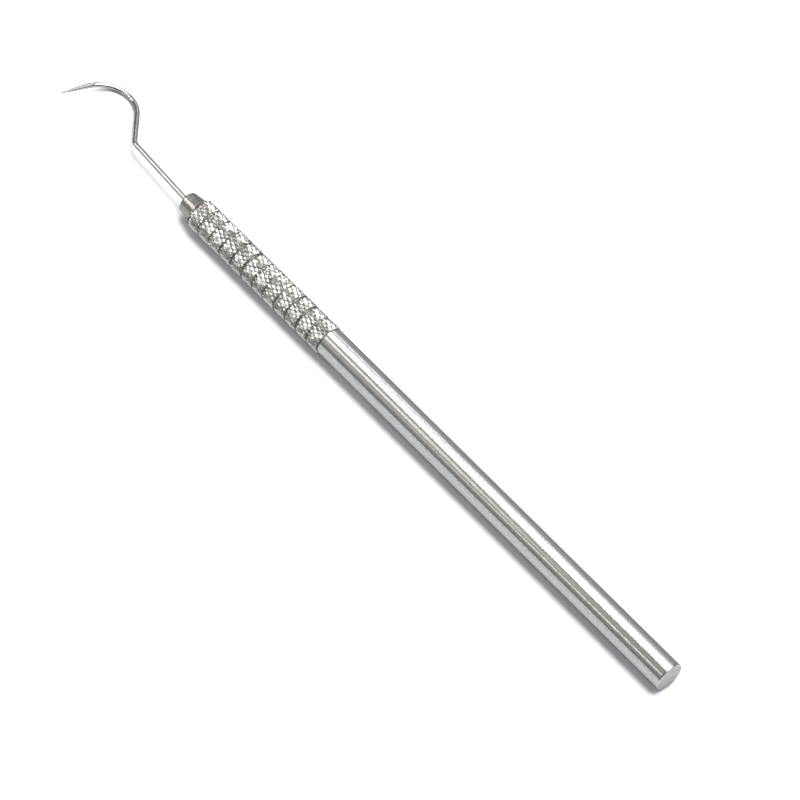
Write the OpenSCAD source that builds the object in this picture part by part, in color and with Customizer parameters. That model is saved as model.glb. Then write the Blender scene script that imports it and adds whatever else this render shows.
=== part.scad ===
// Dental explorer, single ended, with a hollow round handle and a shepherd's hook.
// It lies on a flat surface: +Z is up, the hook points to -X and the tail to +X.
// The origin is on that surface, under the middle of the instrument's box.

/* [Handle] */
// Outside diameter of the plain barrel
barrel_d = 6.0; // [4.5:0.1:9]
// Length of the plain barrel, from the tail face to the first ring groove
plain_len = 94.0; // [60:1:120]
// Wall of the handle tube under the plain barrel
tube_wall = 0.7; // [0.5:0.05:1.2]
// Broken edge around the tail end
tail_bevel = 0.25; // [0.1:0.05:0.5]

/* [Knurled grip] */
// How far the knurl stands above the plain barrel, on the radius
knurl_rise = 0.2; // [0.1:0.05:0.4]
// Number of knurled bands
band_count = 12; // [6:1:16]
// Length from one ring groove to the next
band_pitch = 3.15; // [2:0.05:5]
// Width of a ring groove at the knurl's crests
ring_w = 0.36; // [0.2:0.02:0.6]
// Depth of a ring groove below the knurl's crests
ring_depth = 0.26; // [0.22:0.02:0.4]
// Bevel at the front end of the knurl
grip_bevel = 0.2; // [0.1:0.05:0.4]

/* [Nose cone] */
// Length of the cone that shows in front of the handle
nose_len = 3.7; // [2:0.1:8]
// Width of the cone's shoulder, which seats on the handle's front face
nose_seat = 0.3; // [0.15:0.05:0.5]
// How much the cone narrows towards its front, on the radius
nose_drop = 0.45; // [0.1:0.05:0.8]
// Rounded front edge of the cone
nose_round = 0.45; // [0.1:0.05:0.8]
// Length of the spigot inside the handle
spigot_len = 8.0; // [4:0.5:14]
// How far the wire's tang stops short of the spigot's back end
tang_setback = 2.7; // [0:0.1:3.5]

/* [Tail plug] */
// Length of the plug that closes the tail
plug_len = 5.0; // [3:0.5:10]

/* [Working end] */
// Diameter of the wire up to the crook
wire_d = 1.1; // [0.8:0.05:1.4]
// How much the wire thins along the crook, on the radius
crook_thinning = 0.05; // [0:0.005:0.1]
// Length of the straight shank in front of the nose cone
shank_len = 15.4; // [8:0.2:24]
// How far the shank leans off the handle's axis, in degrees
shank_lean = 3.5; // [0:0.5:10]
// Radius of the bend between shank and riser, on the wire's centre line
bend_r = 2.5; // [1.5:0.1:5]
// Angle between the handle's axis and the riser, in degrees
riser_angle = 44; // [30:1:60]
// Length of the straight riser between the two bends
riser_len = 7.2; // [4:0.2:12]
// Radius of the crook, on the wire's centre line
crook_r = 6.3; // [4:0.1:10]
// Angle between the handle's axis and the point, in degrees
point_angle = 80; // [60:1:88]
// Length of the ground point
point_len = 6.7; // [4:0.1:10]
// Diameter of the very tip
tip_d = 0.1; // [0.04:0.02:0.2]

/* [Joints] */
// Radial gap that the brazing alloy fills, at the tang, the spigot and the plug
braze_gap = 0.1; // [0.06:0.01:0.15]
// Leg of the small braze fillet around the wire at the nose cone's front
braze_fillet = 0.15; // [0.05:0.05:0.3]

/* [Hidden] */
$fn = 64;

// Radii of the handle.
barrel_r = barrel_d / 2;
bore_r = barrel_r - tube_wall;
knurl_r = barrel_r + knurl_rise;
ring_r = knurl_r - ring_depth;

// Stations along the handle's axis, from the tail face.
tube_len = plain_len + band_count * band_pitch;
nose_front = tube_len + nose_len;
spigot_back = tube_len - spigot_len;
tang_back = spigot_back + tang_setback;

// Radii of the nose cone and the wire.
nose_back_r = bore_r + nose_seat;
nose_front_r = nose_back_r - nose_drop;
wire_r = wire_d / 2;
crook_end_r = wire_r - crook_thinning;
tip_r = tip_d / 2;

// Fits: each inner piece is a braze gap smaller than the hole that it goes in.
spigot_r = bore_r - braze_gap;
plug_r = bore_r - braze_gap;
tang_bore_r = wire_r + braze_gap;

// The wire's centre line lies in the hook's plane, where a place is
// [along the handle's axis, out from it] and a heading is an angle to the axis.
function go(from, heading, len) = from + len * [cos(heading), sin(heading)];
function beside(from, heading, r) = from + r * [-sin(heading), cos(heading)];
// The shank takes up its lean on a wide bend in front of the nose cone.
lean_r = 10;
lean_centre = beside([nose_front, 0], 0, lean_r);
shank_start = beside(lean_centre, shank_lean, -lean_r);
shank_end = go(shank_start, shank_lean, shank_len);
bend_centre = beside(shank_end, shank_lean, bend_r);
riser_start = beside(bend_centre, riser_angle, -bend_r);
riser_end = go(riser_start, riser_angle, riser_len);
crook_centre = beside(riser_end, riser_angle, -crook_r);
point_start = beside(crook_centre, -point_angle, crook_r);
tip = go(point_start, -point_angle, point_len);

// The stance: the knurl rests on the surface, and the handle is rolled until
// the top of the crook, where the wire runs along the axis, rests on it too.
axis_z = knurl_r;
crook_reach = crook_centre[1] + crook_r;
crook_top_r = crook_radius(0);
roll = asin((axis_z - crook_top_r) / crook_reach);
hook_side = crook_reach * cos(roll) + crook_top_r;
tip_side = min(tip[1] * cos(roll) - tip_r, -knurl_r);
axis_y = -(hook_side + tip_side) / 2;
tail_x = (tip[0] + tip_r) / 2;

// Sides of the wire, and its rings along each bend and along the point.
wire_sides = 20;
lean_rings = 2;
bend_rings = 8;
crook_rings = 22;
point_rings = 9;
// The point swells between its ends, as a power of the way back from the tip.
point_swell = 0.6;

// The wire's radius in the crook, which falls evenly from the riser to the point.
function crook_radius(heading) =
    crook_end_r + (wire_r - crook_end_r) * (heading + point_angle) / (riser_angle + point_angle);

// The ground point's radius, at a share of the way back from its tip.
function point_radius(share) = tip_r + (crook_end_r - tip_r) * pow(share, point_swell);

// Each ring of the wire is [place, heading, radius].
function bend(centre, r, from, to, rings) =
    [for (i = [0 : rings])
        let (heading = from + (to - from) * i / rings)
            [beside(centre, heading, -r), heading, wire_r]];
wire_rings = concat(
    [[[tang_back, 0], 0, wire_r]],
    bend(lean_centre, lean_r, 0, shank_lean, lean_rings),
    bend(bend_centre, bend_r, shank_lean, riser_angle, bend_rings),
    [for (ring = bend(crook_centre, -crook_r, riser_angle, -point_angle, crook_rings))
        [ring[0], ring[1], crook_radius(ring[1])]],
    [for (i = [1 : point_rings])
        let (share = pow(1 - i / point_rings, 1.5))
            [go(tip, -point_angle, -point_len * share), -point_angle, point_radius(share)]]
);

// The handle's axis runs up +Z in a piece's own drawing, from the tail face.
// place() lays it down along -X, on the surface.
module place() {
    translate([tail_x, axis_y, axis_z])
        rotate([0, -90, 0])
            children();
}

// A solid of revolution about the handle's axis, from [radius, station] points.
module turned(outline) {
    place()
        rotate_extrude()
            polygon(outline);
}

// A sleeve of brazing alloy that fills the gap around a piece.
module braze_sleeve(inner_r, from, to) {
    turned([[inner_r, from], [inner_r + braze_gap, from],
            [inner_r + braze_gap, to], [inner_r, to]]);
}

// Stands children in the hook's plane: their X runs along the handle's axis,
// and their Y runs out from it, to the side where the crook is.
module in_hook_plane() {
    place()
        rotate([0, 0, roll])
            rotate([0, -90, 0])
                children();
}

// A closed tube through rings of [place, heading, radius].
module swept_wire(rings) {
    last = len(rings) - 1;
    points = [for (ring = rings, k = [0 : wire_sides - 1])
        let (turn = 360 * k / wire_sides,
             place = beside(ring[0], ring[1], ring[2] * cos(turn)))
            [place[0], place[1], ring[2] * sin(turn)]];
    function at(i, k) = i * wire_sides + k % wire_sides;
    polyhedron(points, concat(
        [[for (k = [0 : wire_sides - 1]) at(0, k)]],
        [[for (k = [wire_sides - 1 : -1 : 0]) at(last, k)]],
        [for (i = [0 : last - 1], k = [0 : wire_sides - 1])
            [at(i, k), at(i + 1, k), at(i + 1, k + 1)]],
        [for (i = [0 : last - 1], k = [0 : wire_sides - 1])
            [at(i, k), at(i + 1, k + 1), at(i, k + 1)]]));
}

// One ring groove: two slopes that meet, from the radius behind it.
function ring_groove(station, behind_r) = [
    [behind_r, station - ring_w / 2],
    [ring_r, station],
    [knurl_r, station + ring_w / 2]
];

// Tube with a plain barrel, and a grip that ring grooves divide into bands.
module handle_tube() {
    color("silver")
        turned(concat(
            [[bore_r, 0], [barrel_r - tail_bevel, 0], [barrel_r, tail_bevel]],
            [for (i = [0 : band_count - 1],
                  p = ring_groove(plain_len + i * band_pitch, i == 0 ? barrel_r : knurl_r)) p],
            [[knurl_r, tube_len - grip_bevel], [knurl_r - grip_bevel, tube_len],
             [bore_r, tube_len]]));
}

// Turned plug: a spigot inside the handle, and a cone in front of it.
module nose_cone() {
    round_steps = 4;
    color("darkgray")
        turned(concat(
            [[tang_bore_r, spigot_back], [spigot_r, spigot_back], [spigot_r, tube_len],
             [nose_back_r, tube_len]],
            [for (i = [0 : round_steps])
                [nose_front_r - nose_round + nose_round * cos(90 * i / round_steps),
                 nose_front - nose_round + nose_round * sin(90 * i / round_steps)]],
            [[tang_bore_r, nose_front]]));
}

// One wire: tang, shank, bend, riser, crook and ground point.
module working_end() {
    color("gainsboro")
        in_hook_plane()
            swept_wire(wire_rings);
}

// Turned plug that closes the tail, faced flush with the tube.
module tail_plug() {
    color("lightgray")
        turned([[0, 0], [plug_r, 0], [plug_r, plug_len], [0, plug_len]]);
}

// Braze around the tang, with a small fillet where the wire comes out.
module tang_braze() {
    color("wheat")
        turned([[wire_r, tang_back], [tang_bore_r, tang_back], [tang_bore_r, nose_front],
                [tang_bore_r + braze_fillet, nose_front],
                [wire_r, nose_front + braze_fillet]]);
}

// Braze around the nose cone's spigot.
module nose_braze() {
    color("wheat")
        braze_sleeve(spigot_r, spigot_back, tube_len);
}

// Braze around the tail plug.
module tail_braze() {
    color("wheat")
        braze_sleeve(plug_r, 0, plug_len);
}

handle_tube();
nose_cone();
working_end();
tail_plug();
tang_braze();
nose_braze();
tail_braze();
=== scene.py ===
"""A single-ended dental explorer lying on a pale floor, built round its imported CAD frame.

Everything is in metres, in the frame's own axes: +Z up, the tail at +X, the hook at -X,
and the crook to the +Y side. A station is a distance along the handle from its tail face.
"""

import logging
import math
from abc import ABC, abstractmethod
from collections.abc import Iterator
from contextlib import contextmanager
from dataclasses import dataclass, field
from enum import Enum
from typing import ClassVar

import bpy
import numpy as np
from mathutils import Matrix, Vector


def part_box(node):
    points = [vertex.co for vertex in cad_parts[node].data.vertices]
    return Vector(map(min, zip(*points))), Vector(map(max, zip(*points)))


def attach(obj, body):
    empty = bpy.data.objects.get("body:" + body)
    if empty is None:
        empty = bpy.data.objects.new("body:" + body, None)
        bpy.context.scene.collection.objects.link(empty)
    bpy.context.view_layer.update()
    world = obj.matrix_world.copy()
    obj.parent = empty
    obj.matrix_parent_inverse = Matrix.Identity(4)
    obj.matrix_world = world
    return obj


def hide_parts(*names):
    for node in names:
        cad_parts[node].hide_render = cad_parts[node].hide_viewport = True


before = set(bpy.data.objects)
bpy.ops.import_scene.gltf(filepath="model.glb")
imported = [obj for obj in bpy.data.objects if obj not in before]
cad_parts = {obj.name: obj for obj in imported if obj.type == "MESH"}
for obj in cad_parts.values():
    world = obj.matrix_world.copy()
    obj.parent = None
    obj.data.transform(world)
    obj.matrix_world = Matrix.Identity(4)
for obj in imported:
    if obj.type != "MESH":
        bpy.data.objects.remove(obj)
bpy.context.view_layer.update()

LOG = logging.getLogger("explorer")
MM = 0.001
# Points closer than this are one point.
WELD = 0.002 * MM
# A ring this far from an edge keeps the shading of a long straight side true.
GUARD = 0.25 * MM
# Where the camera stands, and which way it looks.
CAMERA = Vector((0.3965, -0.3350, 0.8330))
CAMERA_AIM = Vector((-0.39722, 0.34264, -0.85136))

Outline = list[tuple[float, float]]
Colour = tuple[float, float, float, float]
Socket = bpy.types.NodeSocket
Tree = bpy.types.NodeTree


class Slot(Enum):
    """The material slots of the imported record."""

    POLISHED_STEEL = "polished_steel"
    SATIN_STEEL = "satin_steel"
    WIRE_STEEL = "wire_steel"
    BRAZE = "braze"


# ---------------------------------------------------------------------------
# Modelling helpers
# ---------------------------------------------------------------------------


def deselect_all() -> None:
    """Deselects every object."""
    bpy.ops.object.select_all(action="DESELECT")


def pick(piece: bpy.types.Object) -> None:
    """Makes a piece the only selected object, and the active one.

    Args:
        piece: The object to pick.
    """
    deselect_all()
    piece.select_set(True)
    bpy.context.view_layer.objects.active = piece


class Select(Enum):
    """What edit mode selects: vertices, edges or faces."""

    VERTICES = (True, False, False)
    EDGES = (False, True, False)
    FACES = (False, False, True)


@contextmanager
def editing(piece: bpy.types.Object, select: Select = Select.VERTICES) -> Iterator[None]:
    """Opens a piece in edit mode for a while.

    Args:
        piece: The mesh object to edit.
        select: What is selected there. The selection made in object mode is kept as such.

    Returns:
        Nothing, while the piece is open.
    """
    pick(piece)
    bpy.context.tool_settings.mesh_select_mode = select.value
    bpy.ops.object.mode_set(mode="EDIT")
    yield
    bpy.ops.object.mode_set(mode="OBJECT")


def named(name: str) -> bpy.types.Object:
    """Names the new primitive and its mesh.

    Args:
        name: The piece's name.

    Returns:
        The active object.
    """
    piece = bpy.context.active_object
    piece.name = piece.data.name = name
    return piece


def apply_place(piece: bpy.types.Object) -> None:
    """Moves a piece's place into its mesh, which leaves the object at the origin.

    Args:
        piece: The object to reset.
    """
    pick(piece)
    bpy.ops.object.transform_apply(location=True, rotation=True, scale=True)


def smooth(piece: bpy.types.Object, degrees: float = 30.0) -> None:
    """Shades a piece smooth, apart from its sharp edges.

    Args:
        piece: The object to shade.
        degrees: The angle from which an edge counts as sharp.
    """
    pick(piece)
    bpy.ops.object.shade_smooth_by_angle(angle=math.radians(degrees))


def vertex_places(mesh: bpy.types.Mesh) -> np.ndarray:
    """Gives every vertex's place as one row each.

    Args:
        mesh: The mesh to read.

    Returns:
        An array of shape (vertices, 3).
    """
    places = np.empty(len(mesh.vertices) * 3)
    mesh.vertices.foreach_get("co", places)
    return places.reshape(-1, 3)


def face_centres(mesh: bpy.types.Mesh) -> np.ndarray:
    """Gives every face's centre as one row each.

    Args:
        mesh: The mesh to read.

    Returns:
        An array of shape (faces, 3).
    """
    centres = np.empty(len(mesh.polygons) * 3)
    mesh.polygons.foreach_get("center", centres)
    return centres.reshape(-1, 3)


def select_faces(mesh: bpy.types.Mesh, chosen: np.ndarray) -> None:
    """Selects exactly the chosen faces, from object mode.

    Args:
        mesh: The mesh to select in.
        chosen: One truth value a face.
    """
    mesh.vertices.foreach_set("select", np.zeros(len(mesh.vertices), bool))
    mesh.edges.foreach_set("select", np.zeros(len(mesh.edges), bool))
    mesh.polygons.foreach_set("select", chosen)


def select_vertices(mesh: bpy.types.Mesh, chosen: np.ndarray) -> None:
    """Selects exactly the chosen vertices, from object mode.

    Args:
        mesh: The mesh to select in.
        chosen: One truth value a vertex.
    """
    mesh.edges.foreach_set("select", np.zeros(len(mesh.edges), bool))
    mesh.polygons.foreach_set("select", np.zeros(len(mesh.polygons), bool))
    mesh.vertices.foreach_set("select", chosen)


def select_edges(mesh: bpy.types.Mesh, chosen: np.ndarray) -> None:
    """Selects exactly the chosen edges, from object mode.

    Args:
        mesh: The mesh to select in.
        chosen: One truth value an edge.
    """
    mesh.vertices.foreach_set("select", np.zeros(len(mesh.vertices), bool))
    mesh.polygons.foreach_set("select", np.zeros(len(mesh.polygons), bool))
    mesh.edges.foreach_set("select", chosen)


def edge_ends(mesh: bpy.types.Mesh) -> np.ndarray:
    """Gives the two vertex numbers of every edge.

    Args:
        mesh: The mesh to read.

    Returns:
        An array of shape (edges, 2).
    """
    ends = np.empty(len(mesh.edges) * 2, np.int32)
    mesh.edges.foreach_get("vertices", ends)
    return ends.reshape(-1, 2)


def arc(station: float, radius: float, size: float, start: float, end: float, steps: int) -> Outline:
    """Gives the points of a rounded edge in an outline.

    Args:
        station: The arc's centre along the axis.
        radius: The arc's centre out from the axis.
        size: The arc's own radius.
        start: The first angle in degrees, from straight out and towards the nose.
        end: The last angle in degrees.
        steps: How many straight steps make the arc.

    Returns:
        The points as (station, radius).
    """
    angles = [math.radians(start + (end - start) * i / steps) for i in range(steps + 1)]
    return [(station + size * math.sin(a), radius + size * math.cos(a)) for a in angles]


@dataclass(frozen=True)
class HandleAxis:
    """The handle's axis, found from the box of the handle tube's CAD node."""

    tail_x: float
    y: float
    z: float

    @classmethod
    def from_frame(cls) -> "HandleAxis":
        """Reads the axis from the handle tube's box."""
        low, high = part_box("handle_tube")
        return cls(high.x, (low.y + high.y) / 2, (low.z + high.z) / 2)

    def at(self, station: float) -> Vector:
        """Gives the place on the axis at a station."""
        return Vector((self.tail_x - station, self.y, self.z))

    def stations(self, places: np.ndarray) -> np.ndarray:
        """Gives the station of each place."""
        return self.tail_x - places[:, 0]

    def radii(self, places: np.ndarray) -> np.ndarray:
        """Gives the distance of each place from the axis."""
        return np.hypot(places[:, 1] - self.y, places[:, 2] - self.z)

    def turn(self, name: str, outline: Outline, sides: int = 128, closed: bool = True) -> bpy.types.Object:
        """Turns an outline round the axis, as on a lathe.

        Args:
            name: The piece's name.
            outline: Points as (station, radius).
            sides: How many flat sides stand for a full turn.
            closed: Whether the outline closes on itself; if not, flat faces close its ends.

        Returns:
            The turned piece.
        """
        path = outline + outline[:1] if closed else outline
        station, radius = path[0]
        deselect_all()
        bpy.ops.mesh.primitive_circle_add(
            vertices=sides, radius=radius, location=self.at(station), rotation=(0, math.pi / 2, 0)
        )
        piece = named(name)
        apply_place(piece)
        with editing(piece):
            bpy.ops.mesh.select_all(action="SELECT")
            for next_station, next_radius in path[1:]:
                step = self.at(next_station) - self.at(station)
                grown = next_radius / radius
                bpy.ops.mesh.extrude_region_move(TRANSFORM_OT_translate={"value": step})
                bpy.ops.transform.resize(
                    value=(1, grown, grown), center_override=self.at(next_station)
                )
                station, radius = next_station, next_radius
            bpy.ops.mesh.select_all(action="SELECT")
            bpy.ops.mesh.remove_doubles(threshold=WELD)
            if not closed:
                bpy.ops.mesh.fill_holes(sides=0)
            bpy.ops.mesh.select_all(action="SELECT")
            bpy.ops.mesh.normals_make_consistent(inside=False)
        return piece


# ---------------------------------------------------------------------------
# Finishes
# ---------------------------------------------------------------------------


def linear(hex_colour: str) -> Colour:
    """Turns an sRGB hex colour to the linear one that shaders take.

    Args:
        hex_colour: Six hex digits, with or without a leading hash.

    Returns:
        Red, green, blue and alpha.
    """
    digits = hex_colour.lstrip("#")
    parts = [int(digits[i : i + 2], 16) / 255 for i in (0, 2, 4)]
    red, green, blue = (
        p / 12.92 if p <= 0.04045 else ((p + 0.055) / 1.055) ** 2.4 for p in parts
    )
    return (red, green, blue, 1.0)


def add_node(
    tree: Tree, kind: str, inputs: dict[str | int, object] | None = None, **settings: object
) -> bpy.types.Node:
    """Adds a node with its settings and links.

    Args:
        tree: The node tree to add to.
        kind: The node's type name.
        inputs: Values or other nodes' sockets, by input name or number.
        **settings: The node's own properties.

    Returns:
        The new node.
    """
    made = tree.nodes.new(kind)
    for name, value in settings.items():
        setattr(made, name, value)
    for key, value in (inputs or {}).items():
        if isinstance(value, Socket):
            tree.links.new(value, made.inputs[key])
        else:
            made.inputs[key].default_value = value
    return made


def grain(
    tree: Tree, wavelengths: tuple[float, float, float], detail: float, turn: float = 0.0
) -> Socket:
    """Adds noise on Object coordinates whose grain has a real size along each axis.

    Args:
        tree: The material's node tree.
        wavelengths: The grain's size along X, Y and Z, in metres.
        detail: How many finer octaves the noise has.
        turn: How far the grain is turned about X, in radians.

    Returns:
        The noise's value socket.
    """
    where = add_node(tree, "ShaderNodeTexCoord")
    turned = add_node(
        tree, "ShaderNodeMapping", {"Vector": where.outputs["Object"], "Rotation": (turn, 0, 0)}
    )
    scaled = add_node(
        tree,
        "ShaderNodeMapping",
        {"Vector": turned.outputs["Vector"], "Scale": tuple(1 / w for w in wavelengths)},
    )
    noise = add_node(
        tree,
        "ShaderNodeTexNoise",
        {"Vector": scaled.outputs["Vector"], "Scale": 1.0, "Detail": detail, "Roughness": 0.55},
    )
    return noise.outputs["Fac"]


def spread(
    tree: Tree, value: Socket, low: float | Socket, high: float | Socket,
    start: float = 0.3, end: float = 0.7,
) -> Socket:
    """Maps a pattern's value from one range to another.

    Args:
        tree: The material's node tree.
        value: The pattern's socket.
        low: The result at the range's start.
        high: The result at the range's end.
        start: The pattern's value that gives low.
        end: The pattern's value that gives high.

    Returns:
        The mapped value's socket.
    """
    return add_node(
        tree,
        "ShaderNodeMapRange",
        {"Value": value, "From Min": start, "From Max": end, "To Min": low, "To Max": high},
    ).outputs["Result"]


def blend_colours(tree: Tree, share: Socket, first: str, second: str) -> Socket:
    """Mixes two colours by a pattern.

    Args:
        tree: The material's node tree.
        share: The socket that says how much of the second colour there is.
        first: The first colour's sRGB hex.
        second: The second colour's sRGB hex.

    Returns:
        The mixed colour's socket.
    """
    # The mix node's colour inputs are numbers 6 and 7, and its colour output is number 2.
    mixed = add_node(
        tree, "ShaderNodeMix", {0: share, 6: linear(first), 7: linear(second)}, data_type="RGBA"
    )
    return mixed.outputs[2]


def bump(tree: Tree, *layers: tuple[Socket, float]) -> Socket:
    """Stacks bumps on each other.

    Args:
        tree: The material's node tree.
        *layers: The pattern of each bump, and how high it stands in metres.

    Returns:
        The bumped normal's socket.
    """
    normal = {}
    for height, distance in layers:
        raised = add_node(
            tree, "ShaderNodeBump", {"Height": height, "Distance": distance, "Strength": 1.0} | normal
        )
        normal = {"Normal": raised.outputs["Normal"]}
    return normal["Normal"]


def new_material(name: str) -> tuple[bpy.types.Material, Tree, bpy.types.Node]:
    """Starts a material.

    Args:
        name: The material's name.

    Returns:
        The material, its node tree and its main shader.
    """
    material = bpy.data.materials.new(name)
    material.use_nodes = True
    return material, material.node_tree, material.node_tree.nodes["Principled BSDF"]


class Metal(ABC):
    """What the metals share: each draws its own colour, roughness and bump on one shader."""

    name: ClassVar[str]

    @abstractmethod
    def patterns(self, tree: Tree) -> tuple[Socket, Socket, Socket]:
        """Adds the metal's own patterns.

        Args:
            tree: The material's node tree.

        Returns:
            The colour, roughness and normal sockets.
        """

    def make(self) -> bpy.types.Material:
        """Makes the material.

        Returns:
            The material, with the metal's patterns joined to its shader.
        """
        material, tree, shader = new_material(self.name)
        shader.inputs["Metallic"].default_value = 1.0
        for socket, pattern in zip(("Base Color", "Roughness", "Normal"), self.patterns(tree)):
            tree.links.new(pattern, shader.inputs[socket])
        return material


@dataclass(frozen=True)
class PolishedTube(Metal):
    """Stainless tube, linished lengthwise and buffed: bright, with long fine marks.

    The marks run along the tube, so the edges of what it mirrors are drawn out and frayed.
    A mark is given by its length and its width.
    """

    name = "stainless_steel_buffed_lengthwise"
    light: str = "dbdad8"
    dark: str = "bfbebb"
    long_mark: tuple[float, float] = (14.0 * MM, 0.10 * MM)
    long_depth: float = 0.0012 * MM
    broad_mark: tuple[float, float] = (22.0 * MM, 0.55 * MM)
    broad_depth: float = 0.006 * MM
    short_mark: tuple[float, float] = (1.3 * MM, 0.16 * MM)
    short_depth: float = 0.004 * MM
    speck: tuple[float, float] = (0.4 * MM, 0.2 * MM)
    roughness: tuple[float, float] = (0.13, 0.24)

    def lengthwise(self, tree: Tree, mark: tuple[float, float], detail: float) -> Socket:
        """Adds a grain of marks that run along the tube."""
        length, width = mark
        return grain(tree, (length, width, width), detail)

    def patterns(self, tree: Tree) -> tuple[Socket, Socket, Socket]:
        """Adds the tube's marks and specks.

        Args:
            tree: The material's node tree.

        Returns:
            The colour, roughness and normal sockets.
        """
        specks = self.lengthwise(tree, self.speck, 3)
        colour = blend_colours(tree, spread(tree, specks, 0, 1, 0.35, 0.65), self.light, self.dark)
        normal = bump(
            tree,
            (self.lengthwise(tree, self.long_mark, 3), self.long_depth),
            (self.lengthwise(tree, self.broad_mark, 2), self.broad_depth),
            (self.lengthwise(tree, self.short_mark, 3), self.short_depth),
        )
        return colour, spread(tree, specks, *self.roughness), normal


@dataclass(frozen=True)
class KnurledSteel(Metal):
    """Stainless steel that a knurling wheel has pressed: bright crests over rougher valleys, whose dark
    colour is painted shade.

    What is further from the axis than the crest radius is all crest, and what is nearer to
    it than the valley radius is all valley.
    """

    name = "stainless_steel_knurled_painted_valley_shade"
    axis: HandleAxis
    crest: str = "dcdad5"
    # The valley's dark colour is painted shade, not the steel's own colour.
    valley: str = "75726a"
    valley_radius: float = 2.95 * MM
    crest_radius: float = 3.05 * MM
    valley_roughness: float = 0.40
    crest_roughness: float = 0.20
    pit: float = 0.16 * MM
    pit_depth: float = 0.012 * MM

    def patterns(self, tree: Tree) -> tuple[Socket, Socket, Socket]:
        """Adds the height above the valleys, which paints shade into them, and the pits.

        Args:
            tree: The material's node tree.

        Returns:
            The colour, roughness and normal sockets.
        """
        where = add_node(tree, "ShaderNodeTexCoord")
        middle = {
            "Vector": where.outputs["Object"],
            "Location": (0, -self.axis.y, -self.axis.z),
            "Scale": (0, 1, 1),
        }
        across = add_node(tree, "ShaderNodeMapping", middle)
        out = add_node(tree, "ShaderNodeVectorMath", {0: across.outputs["Vector"]}, operation="LENGTH")
        height = spread(tree, out.outputs["Value"], 0, 1, self.valley_radius, self.crest_radius)
        # Painted shade: the colour darkens from the crest's grey down to the valley's dark grey with the
        # height.
        colour = blend_colours(tree, height, self.valley, self.crest)
        roughness = spread(tree, height, self.valley_roughness, self.crest_roughness, 0, 1)
        return colour, roughness, bump(tree, (grain(tree, (self.pit,) * 3, 3), self.pit_depth))


@dataclass(frozen=True)
class SatinTurned(Metal):
    """Stainless steel left as the lathe's fine feed leaves it: satin, with rings round it."""

    name = "stainless_steel_satin_turned"
    light: str = "b9b7b2"
    dark: str = "95938d"
    feed: float = 0.11 * MM
    feed_depth: float = 0.01 * MM
    # How far round it a ring stays the same.
    run: float = 6.0 * MM
    patch: float = 0.5 * MM
    roughness: tuple[float, float] = (0.20, 0.32)

    def patterns(self, tree: Tree) -> tuple[Socket, Socket, Socket]:
        """Adds the lathe's rings, and duller patches.

        Args:
            tree: The material's node tree.

        Returns:
            The colour, roughness and normal sockets.
        """
        rings = grain(tree, (self.feed, self.run, self.run), 2)
        patches = grain(tree, (self.patch,) * 3, 3)
        colour = blend_colours(tree, spread(tree, rings, 0, 1), self.light, self.dark)
        return colour, spread(tree, patches, *self.roughness), bump(tree, (rings, self.feed_depth))


@dataclass(frozen=True)
class FacedEnd(Metal):
    """Stainless steel rubbed flat on a belt: matt, with straight marks across it."""

    name = "stainless_steel_belt_faced"
    light: str = "d8d7d6"
    dark: str = "a3a2a3"
    mark_width: float = 0.09 * MM
    mark_length: float = 3.0 * MM
    mark_angle: float = math.radians(38)
    mark_depth: float = 0.006 * MM
    roughness: tuple[float, float] = (0.40, 0.52)

    def patterns(self, tree: Tree) -> tuple[Socket, Socket, Socket]:
        """Adds the belt's marks.

        Args:
            tree: The material's node tree.

        Returns:
            The colour, roughness and normal sockets.
        """
        marks = grain(tree, (self.mark_width, self.mark_length, self.mark_width), 3, self.mark_angle)
        colour = blend_colours(tree, spread(tree, marks, 0, 1), self.light, self.dark)
        return colour, spread(tree, marks, *self.roughness), bump(tree, (marks, self.mark_depth))


@dataclass(frozen=True)
class DrawnWire(Metal):
    """Hard stainless wire, drawn, bent and buffed: bright, with faint smears of polish."""

    name = "stainless_wire_buffed"
    light: str = "dcd9d4"
    dark: str = "bfbbb3"
    smear: tuple[float, float, float] = (2.2 * MM, 0.5 * MM, 0.5 * MM)
    pit: float = 0.12 * MM
    pit_depth: float = 0.003 * MM
    roughness: tuple[float, float] = (0.07, 0.14)

    def patterns(self, tree: Tree) -> tuple[Socket, Socket, Socket]:
        """Adds the polish's smears, and the pits.

        Args:
            tree: The material's node tree.

        Returns:
            The colour, roughness and normal sockets.
        """
        smears = grain(tree, self.smear, 3)
        pits = grain(tree, (self.pit,) * 3, 2)
        colour = blend_colours(tree, spread(tree, smears, 0, 1), self.light, self.dark)
        return colour, spread(tree, smears, *self.roughness), bump(tree, (pits, self.pit_depth))


@dataclass(frozen=True)
class SilverBraze(Metal):
    """Silver brazing alloy, wiped and polished down: a little warmer and duller than steel."""

    name = "silver_brazing_alloy"
    light: str = "cfc7b2"
    dark: str = "b1a68a"
    grain_size: float = 0.2 * MM
    grain_depth: float = 0.006 * MM
    roughness: tuple[float, float] = (0.30, 0.45)

    def patterns(self, tree: Tree) -> tuple[Socket, Socket, Socket]:
        """Adds the alloy's grains.

        Args:
            tree: The material's node tree.

        Returns:
            The colour, roughness and normal sockets.
        """
        grains = grain(tree, (self.grain_size,) * 3, 3)
        colour = blend_colours(tree, spread(tree, grains, 0, 1), self.light, self.dark)
        return colour, spread(tree, grains, *self.roughness), bump(tree, (grains, self.grain_depth))


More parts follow.
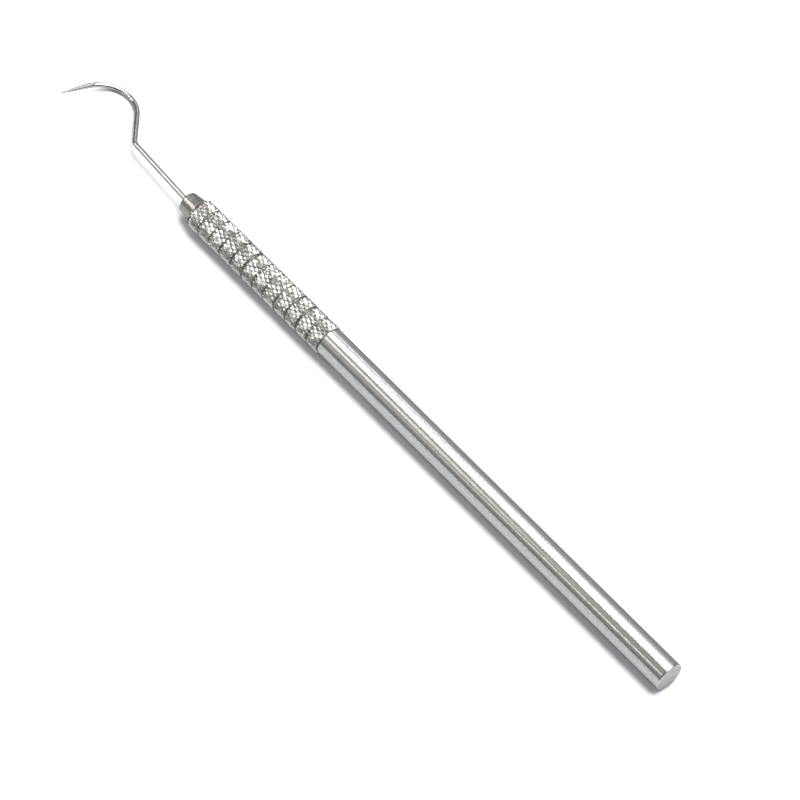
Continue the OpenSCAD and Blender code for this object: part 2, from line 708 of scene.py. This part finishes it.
@dataclass(frozen=True)
class Paper:
    """Matt white background paper: plain, with a faint unevenness.

    The lights burn it out to white. For glossy rays only, its colour is painted darker: a
    painted reflection shade in what polished metal shows of it, darkest on the +Y side of
    the handle. The painted reflection shade values are how much of its white the metal shows:
    near the handle, beyond the far stretch of Y, and beyond the tail stretch of X.
    """

    light: str = "f7f7f7"
    dark: str = "f3f4f5"
    cloud: float = 90.0 * MM
    # Painted reflection shade: the shares of the paper's white that glossy rays see, near the handle, out
    # on +Y and past the tail.
    painted_reflection_shade_near: float = 0.52
    painted_reflection_shade_far: float = 0.21
    painted_reflection_shade_tail: float = 0.62
    far: tuple[float, float] = (0.0, 5.0 * MM)
    tail: tuple[float, float] = (84.0 * MM, 88.0 * MM)
    roughness: float = 0.9
    specular: float = 0.1

    def make(self) -> bpy.types.Material:
        """Makes the material.

        Returns:
            The paper's material.
        """
        material, tree, shader = new_material("matt_white_paper_painted_reflection_shade")
        cloudy = spread(tree, grain(tree, (self.cloud,) * 3, 1), 0, 1)
        paper = blend_colours(tree, cloudy, self.light, self.dark)
        where = add_node(tree, "ShaderNodeTexCoord")
        place = add_node(tree, "ShaderNodeSeparateXYZ", {"Vector": where.outputs["Object"]})
        share = spread(tree, place.outputs["Y"], self.painted_reflection_shade_near, self.painted_reflection_shade_far, *self.far)
        share = spread(tree, place.outputs["X"], share, self.painted_reflection_shade_tail, *self.tail)
        # Painted reflection shade: glossy rays see the paper's colour scaled down by these shares, camera
        # rays see it whole.
        ray = add_node(tree, "ShaderNodeLightPath")
        painted_reflection_factor = spread(tree, ray.outputs["Is Glossy Ray"], 1.0, share, 0, 1)
        painted_reflection_colour = add_node(tree, "ShaderNodeVectorMath", {0: paper, "Scale": painted_reflection_factor}, operation="SCALE")
        tree.links.new(painted_reflection_colour.outputs["Vector"], shader.inputs["Base Color"])
        shader.inputs["Roughness"].default_value = self.roughness
        shader.inputs["Specular IOR Level"].default_value = self.specular
        return material


# ---------------------------------------------------------------------------
# The instrument
# ---------------------------------------------------------------------------


def finish_piece(
    piece: bpy.types.Object, slot: Slot, replaced: str, *materials: bpy.types.Material
) -> None:
    """Gives a finished piece its materials and its place in the frame.

    Args:
        piece: The finished piece.
        slot: The record's slot that it takes its finish from; it is not used.
        replaced: The CAD node that it stands for.
        *materials: Its materials, in the order of its material slots.
    """
    piece.data.materials.clear()
    for material in materials:
        piece.data.materials.append(material)
    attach(piece, "root")
    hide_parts(replaced)


@dataclass
class Barrel:
    """The plain polished part of the handle tube, with its faced tail."""

    axis: HandleAxis
    radius: float = 3.0 * MM
    bore: float = 2.3 * MM
    length: float = 94.0 * MM
    groove_width: float = 0.30 * MM
    groove_radius: float = 2.9 * MM
    groove_chamfer: float = 0.05 * MM
    tail_round: float = 0.22 * MM
    # What lies nearer to the tail face than this is the face itself.
    face_depth: float = 0.02 * MM

    def build(self) -> bpy.types.Object:
        """Turns the barrel, from its tail face to the first ring groove.

        Returns:
            The barrel.
        """
        front = self.length - self.groove_width / 2
        outline = [(0.0, self.bore)]
        size = self.tail_round
        outline += arc(size, self.radius - size, size, start=-90, end=0, steps=5)
        outline += [
            (size + GUARD, self.radius),
            (front - GUARD, self.radius),
            (front - self.groove_chamfer, self.radius),
            (front, self.radius - self.groove_chamfer),
            (front, self.groove_radius),
            (front, self.bore),
        ]
        barrel = self.axis.turn("barrel", outline)
        smooth(barrel)
        return barrel

    def dress(
        self, barrel: bpy.types.Object, polished: bpy.types.Material, faced: bpy.types.Material
    ) -> None:
        """Gives the barrel its polish and its tail the matt face.

        Args:
            barrel: The barrel.
            polished: The finish of its outside.
            faced: The finish of its tail face.
        """
        finish_piece(barrel, Slot.POLISHED_STEEL, "handle_tube", polished, faced)
        on_tail = self.axis.stations(face_centres(barrel.data)) < self.face_depth
        barrel.data.polygons.foreach_set("material_index", on_tail.astype(np.int32))


@dataclass
class Grip:
    """The knurled part of the handle tube, in bands that ring grooves part.

    Each diamond is drawn up in three steps, each with its width and its share of the rise: a
    valley, a flank and a worn crest. The band round says how far in from a band's end, and to
    what share of its radius, the band is drawn in. The wear is how far a corner may be moved.
    """

    axis: HandleAxis
    start: float = 94.0 * MM
    bands: int = 12
    band_pitch: float = 3.15 * MM
    groove_width: float = 0.25 * MM
    groove_radius: float = 2.89 * MM
    front_bevel: float = 0.12 * MM
    front_radius: float = 2.97 * MM
    crest_radius: float = 3.19 * MM
    base_radius: float = 3.01 * MM
    bore: float = 2.3 * MM
    diamonds_round: int = 22
    diamond_length: float = 1.66 * MM
    diamond_rise: float = 0.17 * MM
    diamond_steps: tuple[tuple[float, float], ...] = (
        (0.03 * MM, 0.0), (0.285 * MM, 0.93), (0.045 * MM, 0.07),
    )
    wear: float = 0.035 * MM
    wear_seed: int = 7
    band_round: tuple[tuple[float, float], ...] = (
        (0.0, 0.968), (0.12 * MM, 0.985), (0.30 * MM, 0.996),
    )
    # The core's collar in the last band's end: how far back it starts, and how far it stays
    # under the crests.
    collar_back: float = 0.02 * MM
    collar_drop: float = 0.05 * MM
    # Longer than what the sleeve stands out past the grip at either end.
    overhang: float = 9.0 * MM
    # How far the walls of a groove run in under its floor, as a share.
    wall_share: float = 0.85
    crease_degrees: float = 22.0
    end: float = field(init=False)

    def __post_init__(self) -> None:
        """Works out where the grip ends."""
        self.end = self.start + self.bands * self.band_pitch

    def knurl(self) -> bpy.types.Object:
        """Models the diamond knurl as one sleeve, before any groove is cut.

        A cylinder's rectangles are poked to crossed triangles, and each pair of triangles
        that meets at a side of a rectangle is then one diamond.

        Returns:
            The sleeve, a little longer than the grip at both ends.
        """
        rows = math.ceil((self.end - self.start) / self.diamond_length) + 1
        length = rows * self.diamond_length
        deselect_all()
        bpy.ops.mesh.primitive_cylinder_add(
            vertices=self.diamonds_round, radius=self.base_radius, depth=length, end_fill_type="NOTHING",
            location=self.axis.at((self.start + self.end) / 2), rotation=(0, math.pi / 2, 0),
        )
        sleeve = named("grip")
        apply_place(sleeve)
        places = vertex_places(sleeve.data)
        spans = np.abs(np.diff(places[edge_ends(sleeve.data)][:, :, 0], axis=1)[:, 0])
        select_edges(sleeve.data, spans > length / 2)
        with editing(sleeve, Select.EDGES):
            bpy.ops.mesh.subdivide(number_cuts=rows - 1)
            corners = len(places) + self.diamonds_round * (rows - 1)
            bpy.ops.mesh.select_all(action="SELECT")
            bpy.ops.mesh.normals_make_consistent(inside=False)
            sag = self.base_radius * (1 - math.cos(math.pi / self.diamonds_round))
            bpy.ops.mesh.poke(offset=sag)
        select_edges(sleeve.data, (edge_ends(sleeve.data) < corners).all(axis=1))
        with editing(sleeve, Select.EDGES):
            bpy.ops.mesh.dissolve_edges(use_verts=False, use_face_split=False)
            bpy.ops.mesh.select_all(action="SELECT")
            for width, rise in self.diamond_steps:
                bpy.ops.mesh.inset(
                    thickness=width, depth=rise * self.diamond_rise,
                    use_individual=True, use_boundary=True,
                )
            bpy.ops.mesh.select_all(action="SELECT")
            bpy.ops.transform.vertex_random(
                offset=self.wear, uniform=1.0, normal=0.0, seed=self.wear_seed
            )
        return sleeve

    def cut_grooves(self, sleeve: bpy.types.Object) -> None:
        """Cuts the ring grooves and both ends, and closes every band's end walls.

        Args:
            sleeve: The knurled sleeve.
        """
        half = self.groove_width / 2
        middles = [self.start + i * self.band_pitch for i in range(1, self.bands)]
        gaps = [(self.start - self.overhang, self.start + half)]
        gaps += [(middle - half, middle + half) for middle in middles]
        gaps += [(self.end - self.front_bevel, self.end + self.overhang)]
        # Each band's two ends, and the rings near them that are drawn in.
        ends = [place for gap in gaps for place in gap][1:-1]
        rims = [
            (end + side * inset, factor)
            for end, side in zip(ends, (1, -1) * self.bands)
            for inset, factor in self.band_round
        ]
        with editing(sleeve):
            for cut, _ in rims:
                bpy.ops.mesh.select_all(action="SELECT")
                bpy.ops.mesh.bisect(
                    plane_co=self.axis.at(cut), plane_no=(1, 0, 0), threshold=WELD / 4
                )
        stations = self.axis.stations(face_centres(sleeve.data))
        gone = np.zeros(len(stations), bool)
        for low, high in gaps:
            gone |= (stations > low) & (stations < high)
        select_faces(sleeve.data, gone)
        with editing(sleeve, Select.FACES):
            bpy.ops.mesh.delete(type="FACE")
        places = vertex_places(sleeve.data)
        widest = self.crest_radius / self.axis.radii(places).max()
        for _, factor in self.band_round:
            near = np.zeros(len(places), bool)
            for cut, its_factor in rims:
                near |= (its_factor == factor) & (np.abs(self.axis.stations(places) - cut) < WELD)
            select_vertices(sleeve.data, near)
            with editing(sleeve):
                bpy.ops.transform.resize(
                    value=(1, factor, factor), center_override=self.axis.at(self.start)
                )
        with editing(sleeve, Select.EDGES):
            bpy.ops.mesh.select_all(action="SELECT")
            bpy.ops.transform.resize(
                value=(1, widest, widest), center_override=self.axis.at(self.start)
            )
            bpy.ops.mesh.select_all(action="DESELECT")
            bpy.ops.mesh.select_non_manifold(
                use_wire=False, use_boundary=True, use_multi_face=False,
                use_non_contiguous=False, use_verts=False,
            )
            inward = self.wall_share * self.groove_radius / self.base_radius
            bpy.ops.mesh.extrude_region_move(TRANSFORM_OT_translate={"value": (0, 0, 0)})
            bpy.ops.transform.resize(
                value=(1, inward, inward), center_override=self.axis.at(self.start)
            )

    def build(self) -> bpy.types.Object:
        """Models the grip.

        Returns:
            The knurled bands and the tube under them, as one piece.
        """
        sleeve = self.knurl()
        self.cut_grooves(sleeve)
        back = self.start - self.groove_width / 2
        bevel = self.end - self.front_bevel
        collar = bevel - self.collar_back
        outline = [
            (back, self.bore),
            (back, self.groove_radius),
            (collar, self.groove_radius),
            (collar, self.crest_radius - self.collar_drop),
        ]
        outline += arc(bevel, self.front_radius, self.front_bevel, start=20, end=90, steps=5)
        outline += [(self.end, self.bore)]
        core = self.axis.turn("grip_core", outline)
        pick(sleeve)
        core.select_set(True)
        bpy.ops.object.join()
        smooth(sleeve, self.crease_degrees)
        return sleeve


@dataclass
class TailEnd:
    """The plug in the tail, and the ring of braze round it, faced flush."""

    axis: HandleAxis
    plug_radius: float = 2.2 * MM
    ring_radius: float = 2.3 * MM
    depth: float = 5.0 * MM

    def build(self) -> tuple[bpy.types.Object, bpy.types.Object]:
        """Turns the plug and the braze ring.

        Returns:
            The plug and the ring.
        """
        side = [(0.0, self.plug_radius), (self.depth, self.plug_radius)]
        plug = self.axis.turn("tail_face", side, closed=False)
        around = [
            (0.0, self.plug_radius), (0.0, self.ring_radius),
            (self.depth, self.ring_radius), (self.depth, self.plug_radius),
        ]
        ring = self.axis.turn("tail_seam", around)
        smooth(plug)
        smooth(ring)
        return plug, ring


@dataclass
class NoseCone:
    """The turned plug that narrows the handle down to the wire."""

    axis: HandleAxis
    seat: float = 131.8 * MM
    length: float = 3.7 * MM
    back_radius: float = 2.6 * MM
    front_radius: float = 2.15 * MM
    front_round: float = 0.45 * MM
    spigot_radius: float = 2.2 * MM
    spigot_length: float = 8.0 * MM
    bore: float = 0.65 * MM
    seat_chamfer: float = 0.06 * MM

    @property
    def front(self) -> float:
        """The station of the cone's front face."""
        return self.seat + self.length

    def build(self) -> bpy.types.Object:
        """Turns the nose cone and its spigot.

        Returns:
            The nose cone.
        """
        back = self.seat - self.spigot_length
        outline = [
            (back, self.bore),
            (back, self.spigot_radius),
            (self.seat, self.spigot_radius),
            (self.seat, self.back_radius - self.seat_chamfer),
            (self.seat + self.seat_chamfer, self.back_radius),
        ]
        edge, size = self.front - self.front_round, self.front_round
        fall = (self.back_radius - self.front_radius) / (self.length - size)
        outline += [
            (place, self.back_radius - fall * (place - self.seat))
            for place in (self.seat + GUARD, edge - GUARD)
        ]
        outline += arc(edge, self.front_radius - size, size, start=8, end=90, steps=7)
        outline += [(self.front, self.bore)]
        nose = self.axis.turn("nose", outline)
        smooth(nose)
        return nose


@dataclass
class WorkingEnd:
    """The wire: tang, shank, riser, crook and ground point, on one centre line.

    The line is drawn flat in the hook's plane, where X runs along the handle and Y out from
    it. The place, heading and radius are those of the ring that was drawn last, and the
    reach and top radius those of the ring that is furthest out.
    """

    axis: HandleAxis
    tang_back: float = 126.5 * MM
    nose_front: float = 135.5 * MM
    wire_radius: float = 0.548 * MM
    crook_end_radius: float = 0.498 * MM
    tip_radius: float = 0.047 * MM
    lean_r: float = 10.0 * MM
    lean: float = math.radians(3.5)
    shank_length: float = 15.4 * MM
    bend_r: float = 2.5 * MM
    riser_angle: float = math.radians(44)
    riser_length: float = 7.2 * MM
    crook_r: float = 6.3 * MM
    point_angle: float = math.radians(80)
    point_length: float = 6.7 * MM
    point_swell: float = 0.6
    # The point's rings crowd towards its tip, by this power.
    point_crowding: float = 1.5
    sides: int = 32
    lean_rings: int = 4
    bend_rings: int = 16
    crook_rings: int = 48
    point_rings: int = 14
    place: Vector = field(init=False)
    heading: float = field(init=False)
    radius: float = field(init=False)
    reach: float = field(init=False)
    top_radius: float = field(init=False)

    def __post_init__(self) -> None:
        """Starts the centre line at the tang's back end."""
        self.place = Vector((self.tang_back, 0, 0))
        self.heading = self.reach = 0.0
        self.radius = self.top_radius = self.wire_radius

    def build(self) -> bpy.types.Object:
        """Draws the wire along its centre line, and lays it down as the instrument lies.

        Returns:
            The wire, in its place.
        """
        deselect_all()
        bpy.ops.mesh.primitive_circle_add(
            vertices=self.sides, radius=self.radius, fill_type="NGON",
            location=self.place, rotation=(0, math.pi / 2, 0),
        )
        wire = named("hook_wire")
        apply_place(wire)
        with editing(wire):
            bpy.ops.mesh.select_all(action="SELECT")
            self.advance(self.nose_front - self.tang_back)
            self.curve(self.lean_r, self.lean, self.lean_rings)
            self.advance(self.shank_length)
            self.curve(self.bend_r, self.riser_angle, self.bend_rings)
            self.advance(self.riser_length)
            self.curve(-self.crook_r, -self.point_angle, self.crook_rings, self.crook_end_radius)
            self.grind_point()
            bpy.ops.mesh.select_all(action="SELECT")
            bpy.ops.mesh.normals_make_consistent(inside=False)
        wire.matrix_world = self.stance()
        apply_place(wire)
        smooth(wire)
        return wire

    def stance(self) -> Matrix:
        """Gives the turn from the hook's plane to where the instrument lies.

        Returns:
            The turn, in which the knurl and the top of the crook both rest on the floor.
        """
        roll = math.asin((self.axis.z - self.top_radius) / self.reach)
        lie = Matrix.Translation(self.axis.at(0)) @ Matrix.Rotation(-math.pi / 2, 4, "Y")
        return lie @ Matrix.Rotation(roll, 4, "Z") @ Matrix.Rotation(-math.pi / 2, 4, "Y")

    def grow(self, radius: float) -> None:
        """Brings the selected ring to a radius."""
        bpy.ops.transform.resize(value=(radius / self.radius,) * 3, center_override=self.place)
        self.radius = radius

    def advance(self, length: float) -> None:
        """Extrudes the selected ring straight ahead, with guard rings if it goes far.

        Args:
            length: How far the ring goes.
        """
        parts = (GUARD, length - 2 * GUARD, GUARD) if length > 4 * GUARD else (length,)
        for part in parts:
            step = part * Vector((math.cos(self.heading), math.sin(self.heading), 0))
            bpy.ops.mesh.extrude_region_move(TRANSFORM_OT_translate={"value": step})
            self.place = self.place + step

    def curve(self, radius: float, heading: float, steps: int, end_radius: float = 0.0) -> None:
        """Spins the selected ring round a bend.

        Args:
            radius: The bend's radius; below zero it turns the other way.
            heading: The heading that the bend ends on.
            steps: How many rings the bend has.
            end_radius: The wire's radius where the bend ends, if it thins.
        """
        side = Vector((-math.sin(self.heading), math.cos(self.heading), 0))
        centre = self.place + radius * side
        turn = (heading - self.heading) / steps
        thinning = ((end_radius or self.radius) - self.radius) / steps
        for _ in range(steps):
            # The spin operator turns against the right-hand rule.
            bpy.ops.mesh.spin(steps=1, angle=-turn, center=centre, axis=(0, 0, 1))
            self.place = centre + Matrix.Rotation(turn, 3, "Z") @ (self.place - centre)
            self.heading += turn
            if thinning:
                self.grow(self.radius + thinning)
            if self.place.y > self.reach:
                self.reach, self.top_radius = self.place.y, self.radius

    def grind_point(self) -> None:
        """Extrudes the ground point, which swells a little between its ends."""
        taper, gone = self.radius - self.tip_radius, 0.0
        for i in range(1, self.point_rings + 1):
            left = (1 - i / self.point_rings) ** self.point_crowding
            ahead = self.point_length * (1 - left)
            self.advance(ahead - gone)
            gone = ahead
            self.grow(self.tip_radius + taper * left ** self.point_swell)


@dataclass
class TangFillet:
    """The braze round the tang, with the small fillet that shows at the nose cone's front."""

    axis: HandleAxis
    back: float = 126.5 * MM
    front: float = 135.5 * MM
    inner: float = 0.55 * MM
    outer: float = 0.65 * MM
    leg: float = 0.15 * MM

    def build(self) -> bpy.types.Object:
        """Turns the braze, with a hollow fillet.

        Returns:
            The braze.
        """
        outline = [
            (self.back, self.inner),
            (self.back, self.outer),
            (self.front, self.outer),
            (self.front, self.outer + self.leg),
            # The fillet's hollow, and the thin edge in which it ends on the wire.
            (self.front + 0.25 * self.leg, self.inner + 0.95 * self.leg),
            (self.front + self.leg, self.inner + 0.02 * MM),
            (self.front + self.leg, self.inner),
        ]
        fillet = self.axis.turn("tang_fillet", outline, sides=64)
        smooth(fillet)
        return fillet


# ---------------------------------------------------------------------------
# The studio
# ---------------------------------------------------------------------------


@dataclass(frozen=True)
class SoftLight:
    """A flat light that faces the handle, placed by where the handle's polish mirrors it to the camera.

    Its leans are the edges of the light, in degrees from straight up towards -Y, and its
    stretch is the part of the handle, in metres along X, in which it shows.
    """

    name: str
    leans: tuple[float, float]
    stretch: tuple[float, float]
    radiance: float
    colour: tuple[float, float, float] = (1.0, 1.0, 1.0)
    distance: float = 0.7

    def seen_from(self, x: float) -> float:
        """Gives the X, at the light's distance, that the handle mirrors to the camera at an X."""
        return x - self.distance * (CAMERA.x - x) / math.hypot(CAMERA.y, CAMERA.z)

    def hang(self) -> None:
        """Hangs the light."""
        lean = math.radians(sum(self.leans) / 2)
        half = math.radians(abs(self.leans[1] - self.leans[0]) / 2)
        width = 2 * self.distance * math.tan(half)
        low, high = (self.seen_from(x) for x in self.stretch)
        length = high - low
        lamp = bpy.data.lights.new(self.name, "AREA")
        lamp.shape = "RECTANGLE"
        lamp.size, lamp.size_y = length, width
        lamp.energy = self.radiance * math.pi * length * width
        lamp.color = self.colour
        light = bpy.data.objects.new(self.name, lamp)
        bpy.context.scene.collection.objects.link(light)
        light.location = self.distance * Vector((0, -math.sin(lean), math.cos(lean)))
        light.location.x = (low + high) / 2
        light.rotation_euler = (lean, 0, 0)


@dataclass
class Studio:
    """The floor, the soft lights, the grey room and the camera.

    The softboxes light the floor and give the handle its broad white band. The cards and
    strips are the dimmer things round it that polished metal shows beside that band.
    """

    floor_size: float = 6.0
    room: Colour = (0.168, 0.190, 0.232, 1.0)
    focal_length: float = 237.5
    lights: tuple[SoftLight, ...] = (
        SoftLight("softbox_tail", (-2, -42), (0.040, 0.106), 9.0),
        SoftLight("softbox_far", (-2, -30), (0.106, 0.420), 10.8),
        SoftLight("softbox_hook", (-9, -33), (-0.046, 0.040), 9.0),
        SoftLight("rim_strip", (-50, -55), (-0.046, 0.055), 2.0),
        SoftLight("rim_card", (-48, -68), (-0.160, 0.120), 0.58),
        SoftLight("low_card", (-70, -88), (-0.160, 0.120), 0.28),
        SoftLight("point_card", (-37, -56), (0.095, 0.560), 1.05),
        SoftLight("front_low_card", (82, 89), (-0.160, 0.120), 0.85),
        SoftLight("front_strip", (41, 49), (0.047, 0.110), 1.5),
        SoftLight("front_strip_fade", (43, 54), (0.020, 0.047), 0.6),
        SoftLight("front_card", (8, 70), (-0.050, 0.120), 0.185, (1.0, 0.86, 0.50)),
        SoftLight("top_strip_mid", (18, 33), (0.012, 0.046), 1.0, (1.0, 0.98, 0.92)),
        SoftLight("top_strip_hook", (13, 28), (-0.046, 0.012), 1.6, (1.0, 0.99, 0.94)),
        SoftLight("wire_card", (-12, 52), (-0.124, -0.066), 2.2),
        SoftLight("nose_card", (9, 36), (-0.250, -0.165), 7.0, (1.0, 0.95, 0.84)),
        SoftLight("nose_fill", (40, 88), (-0.236, -0.160), 0.5),
        SoftLight("nose_side", (5, -55), (-0.248, -0.150), 0.45),
    )

    def lay_floor(self) -> None:
        """Lays the paper under the instrument."""
        deselect_all()
        bpy.ops.mesh.primitive_plane_add(size=self.floor_size)
        floor = named("floor")
        floor.data.materials.append(Paper().make())

    def light_room(self) -> None:
        """Fills the room with grey light and hangs the soft lights."""
        world = bpy.data.worlds.new("grey_room")
        world.use_nodes = True
        world.node_tree.nodes["Background"].inputs["Color"].default_value = self.room
        bpy.context.scene.world = world
        for light in self.lights:
            light.hang()

    def set_camera(self) -> None:
        """Stands the camera over the tail's side, with a long lens."""
        lens = bpy.data.cameras.new("camera")
        lens.lens = self.focal_length
        lens.clip_start, lens.clip_end = 0.05, 20.0
        camera = bpy.data.objects.new("camera", lens)
        bpy.context.scene.collection.objects.link(camera)
        camera.location = CAMERA
        camera.rotation_euler = CAMERA_AIM.to_track_quat("-Z", "Y").to_euler()
        bpy.context.scene.camera = camera
        bpy.context.scene.view_settings.view_transform = "Standard"


def main() -> None:
    """Builds the studio, then the instrument from its tail to its point."""
    logging.basicConfig(level=logging.INFO, format="%(name)s: %(message)s")
    studio = Studio()
    studio.set_camera()
    studio.lay_floor()
    studio.light_room()

    axis = HandleAxis.from_frame()
    polished, faced, braze = PolishedTube().make(), FacedEnd().make(), SilverBraze().make()

    barrel = Barrel(axis)
    tube = barrel.build()
    barrel.dress(tube, polished, faced)
    LOG.info("barrel: %d faces", len(tube.data.polygons))

    grip = Grip(axis).build()
    finish_piece(grip, Slot.POLISHED_STEEL, "handle_tube", KnurledSteel(axis).make())
    LOG.info("grip: %d faces", len(grip.data.polygons))

    plug, seam = TailEnd(axis).build()
    finish_piece(plug, Slot.SATIN_STEEL, "tail_plug", faced)
    finish_piece(seam, Slot.BRAZE, "tail_braze", braze)
    LOG.info("tail end: %d faces", len(plug.data.polygons) + len(seam.data.polygons))

    nose = NoseCone(axis).build()
    finish_piece(nose, Slot.SATIN_STEEL, "nose_cone", SatinTurned().make())
    LOG.info("nose cone: %d faces", len(nose.data.polygons))

    wire = WorkingEnd(axis).build()
    finish_piece(wire, Slot.WIRE_STEEL, "working_end", DrawnWire().make())
    LOG.info("working end: %d faces", len(wire.data.polygons))

    fillet = TangFillet(axis).build()
    finish_piece(fillet, Slot.BRAZE, "tang_braze", braze)
    LOG.info("tang fillet: %d faces", len(fillet.data.polygons))

    hidden_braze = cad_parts["nose_braze"]
    hidden_braze.data.materials.clear()
    hidden_braze.data.materials.append(braze)
    LOG.info("nose braze: carried over, %d faces", len(hidden_braze.data.polygons))


if __name__ == "__main__":
    main()
